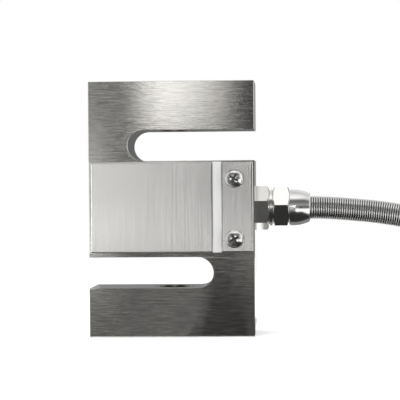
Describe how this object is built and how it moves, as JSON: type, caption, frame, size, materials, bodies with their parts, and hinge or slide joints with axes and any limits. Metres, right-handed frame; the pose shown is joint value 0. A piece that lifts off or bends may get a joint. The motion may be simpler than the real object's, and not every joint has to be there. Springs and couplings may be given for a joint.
{
  "type": "s type load cell",
  "caption": "S-shaped load cell with threaded holes in both arms, screwed covers over its gauge pocket, and a metal-armoured cable from a hexagonal gland.",
  "frame": {"origin": "mouth of the lower thread, at the middle of the bottom face", "axes": "+Z along the load axis from the lower thread up through the upper one; +X towards the cable gland; -Y towards the front cover"},
  "size_m": [0.1867, 0.0916, 0.0784],
  "materials": {
    "body_steel": "brushed along X",
    "cover_steel": "brushed along Z",
    "screw_steel": "bright",
    "gland_steel": "bright turned",
    "ferrule_steel": "bright turned",
    "hose_steel": "close-wound",
    "gasket_rubber": "matte",
    "seal_rubber": "matte",
    "gauge_foil": "polyimide foil",
    "board_green": "solder mask",
    "cable_jacket": "matte jacket",
    "wire_red": "insulation",
    "wire_black": "insulation",
    "wire_green": "insulation",
    "wire_white": "insulation",
    "shield_copper": "tinned copper"
  },
  "bodies": {
    "root": {"s_body": "body_steel", "front_cover": "cover_steel", "back_cover": "cover_steel", "front_gasket": "gasket_rubber", "back_gasket": "gasket_rubber", "front_cover_screws": "screw_steel", "back_cover_screws": "screw_steel", "gauge_upper_left": "gauge_foil", "gauge_upper_right": "gauge_foil", "gauge_lower_left": "gauge_foil", "gauge_lower_right": "gauge_foil", "terminal_board": "board_green", "core_red": "wire_red", "core_black": "wire_black", "core_green": "wire_green", "core_white": "wire_white", "signal_cable": "cable_jacket", "gland_body": "gland_steel", "gland_o_ring": "seal_rubber", "gland_seal": "seal_rubber", "gland_clamp_washer": "gland_steel", "gland_lock_ring": "gland_steel", "gland_nut": "gland_steel", "hose_insert": "gland_steel", "hose_ferrule": "ferrule_steel", "hose_run": "hose_steel", "hose_coil": "hose_steel", "hose_tail": "hose_steel", "hose_end_ferrule": "ferrule_steel", "cable_tail": "cable_jacket", "lead_red": "wire_red", "lead_black": "wire_black", "lead_green": "wire_green", "lead_white": "wire_white", "lead_shield": "shield_copper"}
  },
  "joints": []
}
